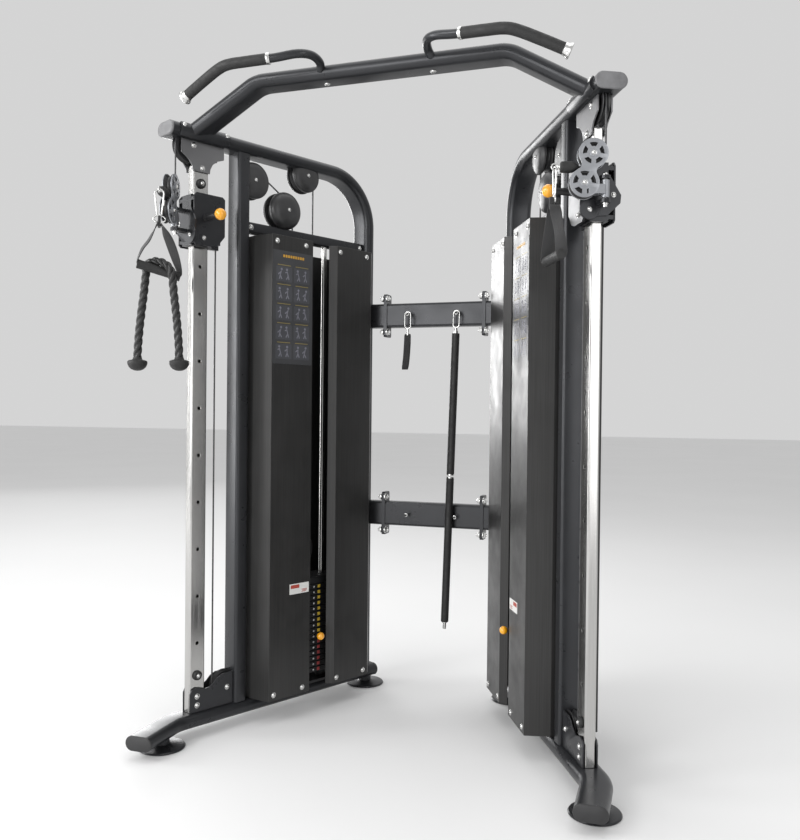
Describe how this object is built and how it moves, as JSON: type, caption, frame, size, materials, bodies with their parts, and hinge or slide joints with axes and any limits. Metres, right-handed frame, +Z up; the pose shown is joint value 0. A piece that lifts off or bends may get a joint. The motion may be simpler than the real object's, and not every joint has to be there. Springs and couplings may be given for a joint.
{
  "type": "functional trainer",
  "caption": "Dual-tower cable machine with weight stacks behind covers, sliding pulley carriages on chrome rails, stirrup handles, a triceps rope, crossbeams and a pull-up bar.",
  "frame": {"origin": "on the floor under the middle of the machine, without the rope", "axes": "+Z up, -Y to the open front where the user stands, +X to the viewer's right when facing the machine"},
  "size_m": [1.582, 1.0842, 2.2759],
  "materials": {
    "frame_paint": "charcoal powder coat, semi-gloss",
    "cover_paint": "dark grey sheet metal with a fine vertical grain, satin",
    "rail_chrome": "polished with faint draw marks",
    "plate_steel": "silver-grey metallic, satin",
    "wheel_plastic": "black moulded nylon, satin",
    "knob_plastic": "amber, glossy",
    "cable_sheath": "black nylon sheath over wire rope",
    "stack_iron": "black, matt",
    "stop_rubber": "black, matt",
    "bar_rubber": "black foam-rubber sleeves on a chromed bar",
    "webbing": "black woven webbing",
    "rope_nylon": "black twisted nylon rope with rubber ends"
  },
  "bodies": {
    "frame": {"base_tube_left": "frame_paint", "rear_post_and_top_rail_left": "frame_paint", "front_post_left": "frame_paint", "adjust_rail_left": "rail_chrome", "top_bracket_left": "plate_steel", "base_bracket_left": "frame_paint", "rear_cover_left": "cover_paint", "front_cover_left": "cover_paint", "resting_stack_left": "stack_iron", "base_tube_right": "frame_paint", "rear_post_and_top_rail_right": "frame_paint", "front_post_right": "frame_paint", "adjust_rail_right": "rail_chrome", "top_bracket_right": "plate_steel", "base_bracket_right": "frame_paint", "rear_cover_right": "cover_paint", "front_cover_right": "cover_paint", "resting_stack_right": "stack_iron", "crossbeam_upper": "frame_paint", "crossbeam_lower": "frame_paint", "pullup_bar": "frame_paint"},
    "stack_left": {"lifted_stack_left": "stack_iron", "main_cable_left": "cable_sheath"},
    "selector_pin_left": {"selector_pin_left": "knob_plastic"},
    "top_pulley_left": {"top_pulley_left": "wheel_plastic"},
    "crown_pulley_left": {"crown_pulley_left": "wheel_plastic"},
    "guide_pulley_left": {"guide_pulley_left": "wheel_plastic"},
    "entry_pulley_left": {"entry_pulley_left": "wheel_plastic"},
    "base_pulley_left": {"base_pulley_left": "wheel_plastic"},
    "floating_pulley_left": {"floating_pulley_left": "wheel_plastic"},
    "carriage_left": {"carriage_left": "frame_paint", "upper_cable_left": "cable_sheath", "lower_cable_left": "cable_sheath"},
    "pull_pin_left": {"pull_pin_left": "knob_plastic"},
    "yoke_left": {"yoke_left": "plate_steel"},
    "yoke_pulley_upper_left": {"yoke_pulley_upper_left": "wheel_plastic"},
    "yoke_pulley_lower_left": {"yoke_pulley_lower_left": "wheel_plastic"},
    "cable_end_left": {"cable_stop_left": "stop_rubber"},
    "handle_left": {"handle_left": "webbing", "rope_left": "rope_nylon"},
    "stack_right": {"lifted_stack_right": "stack_iron", "main_cable_right": "cable_sheath"},
    "selector_pin_right": {"selector_pin_right": "knob_plastic"},
    "top_pulley_right": {"top_pulley_right": "wheel_plastic"},
    "crown_pulley_right": {"crown_pulley_right": "wheel_plastic"},
    "guide_pulley_right": {"guide_pulley_right": "wheel_plastic"},
    "entry_pulley_right": {"entry_pulley_right": "wheel_plastic"},
    "base_pulley_right": {"base_pulley_right": "wheel_plastic"},
    "floating_pulley_right": {"floating_pulley_right": "wheel_plastic"},
    "carriage_right": {"carriage_right": "frame_paint", "upper_cable_right": "cable_sheath", "lower_cable_right": "cable_sheath"},
    "pull_pin_right": {"pull_pin_right": "knob_plastic"},
    "yoke_right": {"yoke_right": "plate_steel"},
    "yoke_pulley_upper_right": {"yoke_pulley_upper_right": "wheel_plastic"},
    "yoke_pulley_lower_right": {"yoke_pulley_lower_right": "wheel_plastic"},
    "cable_end_right": {"cable_stop_right": "stop_rubber"},
    "handle_right": {"handle_right": "webbing"},
    "long_bar": {"long_bar": "bar_rubber"},
    "short_strap": {"short_strap": "webbing"}
  },
  "joints": [
    {"name": "stack_lift_left", "type": "slide", "parent": "frame", "child": "stack_left", "axis": [0, 0, 1], "range_m": [0, 1], "deforming": ["main_cable_left"]},
    {"name": "selector_pin_pull_left", "type": "slide", "parent": "stack_left", "child": "selector_pin_left", "axis": [0.8949, -0.4462, 0], "range_m": [0, 0.06]},
    {"name": "top_pulley_spin_left", "type": "hinge", "parent": "frame", "child": "top_pulley_left", "pos_m": [-0.69381, -0.30468, 2.046], "axis": [0.8949, -0.4462, 0], "continuous": true},
    {"name": "crown_pulley_spin_left", "type": "hinge", "parent": "frame", "child": "crown_pulley_left", "pos_m": [-0.46848, 0.14726, 2.046], "axis": [0.8949, -0.4462, 0], "continuous": true},
    {"name": "guide_pulley_spin_left", "type": "hinge", "parent": "frame", "child": "guide_pulley_left", "pos_m": [-0.5131, 0.05777, 1.895], "axis": [0.8949, -0.4462, 0], "continuous": true},
    {"name": "entry_pulley_spin_left", "type": "hinge", "parent": "frame", "child": "entry_pulley_left", "pos_m": [-0.5769, -0.07021, 1.981], "axis": [0.8949, -0.4462, 0], "continuous": true},
    {"name": "base_pulley_spin_left", "type": "hinge", "parent": "frame", "child": "base_pulley_left", "pos_m": [-0.62152, -0.1597, 0.147], "axis": [0.8949, -0.4462, 0], "continuous": true},
    {"name": "floating_pulley_spin_left", "type": "hinge", "parent": "stack_left", "child": "floating_pulley_left", "pos_m": [-0.46848, 0.14726, 0.602], "axis": [0.8949, -0.4462, 0], "continuous": true},
    {"name": "carriage_slide_left", "type": "slide", "parent": "frame", "child": "carriage_left", "axis": [0, 0, 1], "range_m": [-1.148, 0], "deforming": ["upper_cable_left", "lower_cable_left"]},
    {"name": "pull_pin_pull_left", "type": "slide", "parent": "carriage_left", "child": "pull_pin_left", "axis": [0.8949, -0.4462, 0], "range_m": [0, 0.012], "stiffness_N_per_m": 900, "springref_m": -0.008},
    {"name": "yoke_swivel_left", "type": "hinge", "parent": "carriage_left", "child": "yoke_left", "pos_m": [-0.71612, -0.34943, 1.79], "axis": [0, 0, -1], "range_deg": [-64, 120]},
    {"name": "yoke_pulley_upper_spin_left", "type": "hinge", "parent": "yoke_left", "child": "yoke_pulley_upper_left", "pos_m": [-0.70748, -0.3854, 1.89], "axis": [0.9724, 0.2334, 0], "continuous": true},
    {"name": "yoke_pulley_lower_spin_left", "type": "hinge", "parent": "yoke_left", "child": "yoke_pulley_lower_left", "pos_m": [-0.70164, -0.40971, 1.805], "axis": [0.9724, 0.2334, 0], "continuous": true},
    {"name": "cable_end_pull_left", "type": "slide", "parent": "yoke_left", "child": "cable_end_left", "axis": [0.2334, -0.9724, 0], "range_m": [0, 2]},
    {"name": "handle_swing_left", "type": "hinge", "parent": "cable_end_left", "child": "handle_left", "pos_m": [-0.68203, -0.49139, 1.853], "axis": [-0.9724, -0.2334, 0], "range_deg": [0, 90]},
    {"name": "stack_lift_right", "type": "slide", "parent": "frame", "child": "stack_right", "axis": [0, 0, 1], "range_m": [0, 1], "deforming": ["main_cable_right"]},
    {"name": "selector_pin_pull_right", "type": "slide", "parent": "stack_right", "child": "selector_pin_right", "axis": [-0.8949, -0.4462, 0], "range_m": [0, 0.06]},
    {"name": "top_pulley_spin_right", "type": "hinge", "parent": "frame", "child": "top_pulley_right", "pos_m": [0.69381, -0.30468, 2.046], "axis": [0.8949, 0.4462, 0], "continuous": true},
    {"name": "crown_pulley_spin_right", "type": "hinge", "parent": "frame", "child": "crown_pulley_right", "pos_m": [0.46848, 0.14726, 2.046], "axis": [0.8949, 0.4462, 0], "continuous": true},
    {"name": "guide_pulley_spin_right", "type": "hinge", "parent": "frame", "child": "guide_pulley_right", "pos_m": [0.5131, 0.05777, 1.895], "axis": [0.8949, 0.4462, 0], "continuous": true},
    {"name": "entry_pulley_spin_right", "type": "hinge", "parent": "frame", "child": "entry_pulley_right", "pos_m": [0.5769, -0.07021, 1.981], "axis": [0.8949, 0.4462, 0], "continuous": true},
    {"name": "base_pulley_spin_right", "type": "hinge", "parent": "frame", "child": "base_pulley_right", "pos_m": [0.62152, -0.1597, 0.147], "axis": [0.8949, 0.4462, 0], "continuous": true},
    {"name": "floating_pulley_spin_right", "type": "hinge", "parent": "stack_right", "child": "floating_pulley_right", "pos_m": [0.46848, 0.14726, 0.602], "axis": [0.8949, 0.4462, 0], "continuous": true},
    {"name": "carriage_slide_right", "type": "slide", "parent": "frame", "child": "carriage_right", "axis": [0, 0, 1], "range_m": [-1.476, 0], "deforming": ["upper_cable_right", "lower_cable_right"]},
    {"name": "pull_pin_pull_right", "type": "slide", "parent": "carriage_right", "child": "pull_pin_right", "axis": [-0.8949, -0.4462, 0], "range_m": [0, 0.012], "stiffness_N_per_m": 900, "springref_m": -0.008},
    {"name": "yoke_swivel_right", "type": "hinge", "parent": "carriage_right", "child": "yoke_right", "pos_m": [0.71612, -0.34943, 1.79], "axis": [0, 0, 1], "range_deg": [-4, 180]},
    {"name": "yoke_pulley_upper_spin_right", "type": "hinge", "parent": "yoke_right", "child": "yoke_pulley_upper_right", "pos_m": [0.68064, -0.35993, 1.89], "axis": [0.284, -0.9588, 0], "continuous": true},
    {"name": "yoke_pulley_lower_spin_right", "type": "hinge", "parent": "yoke_right", "child": "yoke_pulley_lower_right", "pos_m": [0.65667, -0.36704, 1.805], "axis": [0.284, -0.9588, 0], "continuous": true},
    {"name": "cable_end_pull_right", "type": "slide", "parent": "yoke_right", "child": "cable_end_right", "axis": [-0.9588, -0.284, 0], "range_m": [0, 2]},
    {"name": "handle_swing_right", "type": "hinge", "parent": "cable_end_right", "child": "handle_right", "pos_m": [0.57613, -0.39089, 1.853], "axis": [-0.284, 0.9588, 0], "range_deg": [-10, 90]},
    {"name": "long_bar_swing", "type": "hinge", "parent": "frame", "child": "long_bar", "pos_m": [0.1, 0.35107, 1.529], "axis": [0, 1, 0], "range_deg": [0, 10]},
    {"name": "short_strap_swing", "type": "hinge", "parent": "frame", "child": "short_strap", "pos_m": [-0.1, 0.35107, 1.529], "axis": [0, 1, 0], "range_deg": [-25, 30]}
  ],
  "couplings": [
    {"joint": "top_pulley_spin_left", "follows": "stack_lift_left", "rad_per_m": 40},
    {"joint": "crown_pulley_spin_left", "follows": "stack_lift_left", "rad_per_m": 40},
    {"joint": "guide_pulley_spin_left", "follows": "carriage_slide_left", "rad_per_m": 20},
    {"joint": "entry_pulley_spin_left", "follows": "carriage_slide_left", "rad_per_m": 20},
    {"joint": "base_pulley_spin_left", "follows": "carriage_slide_left", "rad_per_m": -20},
    {"joint": "floating_pulley_spin_left", "follows": "stack_lift_left", "rad_per_m": 20},
    {"joint": "yoke_pulley_upper_spin_left", "follows": "stack_lift_left", "rad_per_m": -54.054},
    {"joint": "cable_end_pull_left", "follows": "stack_lift_left", "ratio": 2},
    {"joint": "top_pulley_spin_right", "follows": "stack_lift_right", "rad_per_m": 40},
    {"joint": "crown_pulley_spin_right", "follows": "stack_lift_right", "rad_per_m": 40},
    {"joint": "guide_pulley_spin_right", "follows": "carriage_slide_right", "rad_per_m": 20},
    {"joint": "entry_pulley_spin_right", "follows": "carriage_slide_right", "rad_per_m": 20},
    {"joint": "base_pulley_spin_right", "follows": "carriage_slide_right", "rad_per_m": -20},
    {"joint": "floating_pulley_spin_right", "follows": "stack_lift_right", "rad_per_m": 20},
    {"joint": "yoke_pulley_upper_spin_right", "follows": "stack_lift_right", "rad_per_m": -54.054},
    {"joint": "cable_end_pull_right", "follows": "stack_lift_right", "ratio": 2}
  ]
}
